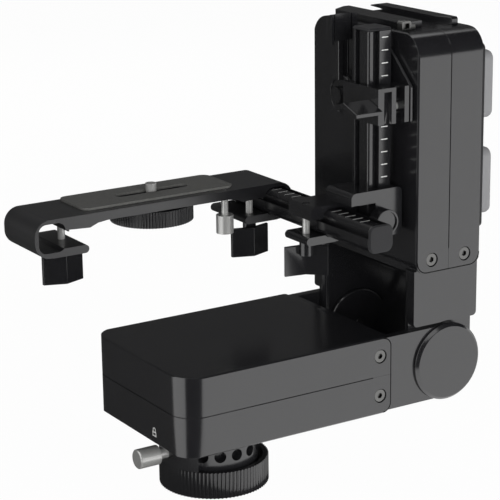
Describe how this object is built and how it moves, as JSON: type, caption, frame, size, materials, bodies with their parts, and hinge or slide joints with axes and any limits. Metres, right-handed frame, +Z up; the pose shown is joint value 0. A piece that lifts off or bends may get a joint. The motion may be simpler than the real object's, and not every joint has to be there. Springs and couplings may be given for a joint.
{
  "type": "remote pan tilt head",
  "caption": "Motorised pan tilt head: a fold-up pair of motor boxes on a threaded foot, with a tilting rod bracket and a slotted camera plate.",
  "frame": {"origin": "mouth of the threaded hole in the foot, on the pan axis, at the height of the fastening ring's lower face", "axes": "+Z up along the pan axis, +X towards the fold hinge, -Y towards the rod faces with the scales"},
  "size_m": [0.252, 0.1495, 0.2542],
  "materials": {
    "anodised_black": "black anodised, satin",
    "anodised_dark": "black anodised, satin",
    "anodised_rod": "black anodised, satin",
    "anodised_plate": "black anodised, fine matt",
    "anodised_rail": "dark grey anodised, satin",
    "anodised_knurl": "black anodised, knurled",
    "plate_plastic": "moulded black",
    "cap_plastic": "moulded black",
    "pad_rubber": "fine ribbed rubber",
    "battery_grey": "moulded light grey",
    "steel": "turned",
    "screw_black": "black oxide",
    "motor_steel": "drawn can",
    "gear_brass": "hobbed",
    "board": "circuit board"
  },
  "bodies": {
    "foot": {"mount_collar": "anodised_dark", "pan_fixed_gear": "gear_brass"},
    "ring": {"fastening_ring": "anodised_knurl"},
    "pan_unit": {"pan_lower_shell": "anodised_black", "pan_upper_shell": "anodised_black", "pan_cover_screws": "screw_black", "pan_yoke": "anodised_dark", "fold_pivot_near": "anodised_dark", "fold_pivot_far": "anodised_dark", "pan_bearing": "steel", "pan_motor": "motor_steel", "pan_board": "board", "plunger_housing": "anodised_dark"},
    "pan_drive": {"pan_pinion": "gear_brass"},
    "pan_lock": {"lock_plunger": "steel"},
    "tilt_unit": {"fold_discs": "anodised_dark", "tilt_front_shell": "anodised_black", "tilt_back_shell": "anodised_black", "tilt_cover_screws": "screw_black", "tilt_yoke": "anodised_dark", "battery_plate": "plate_plastic", "accessory_rail": "anodised_rail", "top_plate": "anodised_rail", "rail_latch": "steel", "tilt_bearing": "steel", "tilt_motor": "motor_steel", "tilt_board": "board"},
    "tilt_drive": {"tilt_pinion": "gear_brass"},
    "upper_pack": {"battery_upper": "battery_grey"},
    "lower_pack": {"battery_lower": "battery_grey"},
    "hub": {"hub_shaft": "steel", "tilt_gear": "gear_brass", "hub_clamp": "anodised_rod", "hub_disc": "anodised_rod", "hub_post": "anodised_rod", "top_clamp": "anodised_rod", "hub_clamp_stud": "steel"},
    "hub_cap": {"hub_cap_knob": "anodised_knurl"},
    "hub_wing": {"hub_wing_knob": "anodised_rod"},
    "upright": {"vertical_rod": "anodised_rod", "vertical_rod_caps": "cap_plastic", "corner_bracket": "anodised_rod", "cross_clamp_stud": "steel"},
    "corner_lock": {"corner_lock_knob": "anodised_knurl"},
    "cross_wing": {"cross_wing_knob": "anodised_rod"},
    "crossbar": {"horizontal_rod": "anodised_rod", "horizontal_rod_caps": "cap_plastic"},
    "plate": {"camera_plate": "anodised_plate", "plate_pad": "pad_rubber", "plate_clamp_studs": "steel"},
    "screw_slide": {"knob_washer": "steel"},
    "screw_knob": {"camera_screw": "steel", "camera_knob": "anodised_knurl"},
    "left_wing": {"left_wing_knob": "anodised_rod"},
    "right_wing": {"right_wing_knob": "anodised_rod"},
    "thumb": {"thumb_screw": "steel"}
  },
  "joints": [
    {"name": "ring_turn", "type": "hinge", "parent": "foot", "child": "ring", "pos_m": [0, 0, 0.0075], "axis": [0, 0, 1], "continuous": true},
    {"name": "pan", "type": "hinge", "parent": "foot", "child": "pan_unit", "pos_m": [0, 0, 0.0369], "axis": [0, 0, 1], "continuous": true},
    {"name": "pan_pinion_spin", "type": "hinge", "parent": "pan_unit", "child": "pan_drive", "pos_m": [0.028, 0, 0.0524], "axis": [0, 0, 1], "continuous": true},
    {"name": "pan_lock_push", "type": "slide", "parent": "pan_unit", "child": "pan_lock", "axis": [1, 0, 0], "range_m": [0, 0.004]},
    {"name": "fold", "type": "hinge", "parent": "pan_unit", "child": "tilt_unit", "pos_m": [0.1246, 0, 0.05915], "axis": [0, 1, 0], "range_deg": [0, 90]},
    {"name": "tilt", "type": "hinge", "parent": "tilt_unit", "child": "hub", "pos_m": [0.10235, 0, 0.2084], "axis": [1, 0, 0], "continuous": true},
    {"name": "tilt_pinion_spin", "type": "hinge", "parent": "tilt_unit", "child": "tilt_drive", "pos_m": [0.1179, 0, 0.1804], "axis": [1, 0, 0], "continuous": true},
    {"name": "upper_pack_slide", "type": "slide", "parent": "tilt_unit", "child": "upper_pack", "axis": [0, 1, 0], "range_m": [0, 0.012]},
    {"name": "lower_pack_slide", "type": "slide", "parent": "tilt_unit", "child": "lower_pack", "axis": [0, 1, 0], "range_m": [0, 0.012]},
    {"name": "hub_cap_turn", "type": "hinge", "parent": "hub", "child": "hub_cap", "pos_m": [0.081, 0, 0.2084], "axis": [1, 0, 0], "continuous": true},
    {"name": "hub_wing_turn", "type": "hinge", "parent": "hub", "child": "hub_wing", "pos_m": [0.068, -0.0385, 0.2074], "axis": [1, 0, 0], "continuous": true},
    {"name": "upright_slide", "type": "slide", "parent": "hub", "child": "upright", "axis": [0, 0, 1], "range_m": [-0.02, 0.0015]},
    {"name": "corner_lock_turn", "type": "hinge", "parent": "upright", "child": "corner_lock", "pos_m": [0.0845, -0.045, 0.1455], "axis": [0, 1, 0], "continuous": true},
    {"name": "cross_wing_turn", "type": "hinge", "parent": "upright", "child": "cross_wing", "pos_m": [0.0565, -0.0095, 0.12], "axis": [0, 0, 1], "continuous": true},
    {"name": "crossbar_slide", "type": "slide", "parent": "upright", "child": "crossbar", "axis": [0, 1, 0], "range_m": [-0.012, 0.02]},
    {"name": "plate_slide", "type": "slide", "parent": "crossbar", "child": "plate", "axis": [0, 1, 0], "range_m": [-0.012, 0.006]},
    {"name": "camera_screw_slide", "type": "slide", "parent": "plate", "child": "screw_slide", "axis": [1, 0, 0], "range_m": [-0.013, 0.01]},
    {"name": "camera_screw_turn", "type": "hinge", "parent": "screw_slide", "child": "screw_knob", "pos_m": [-0.002, 0.06025, 0.1424], "axis": [0, 0, 1], "continuous": true},
    {"name": "left_wing_turn", "type": "hinge", "parent": "plate", "child": "left_wing", "pos_m": [-0.0606, 0.05775, 0.12], "axis": [0, 0, 1], "continuous": true},
    {"name": "right_wing_turn", "type": "hinge", "parent": "plate", "child": "right_wing", "pos_m": [0.0543, 0.046, 0.12], "axis": [0, 0, 1], "continuous": true},
    {"name": "thumb_turn", "type": "hinge", "parent": "plate", "child": "thumb", "pos_m": [0.036, 0.043, 0.133], "axis": [0, 0, 1], "continuous": true}
  ],
  "couplings": [
    {"joint": "pan_pinion_spin", "follows": "pan", "ratio": 3.6667},
    {"joint": "tilt_pinion_spin", "follows": "tilt", "ratio": -3.6667}
  ]
}
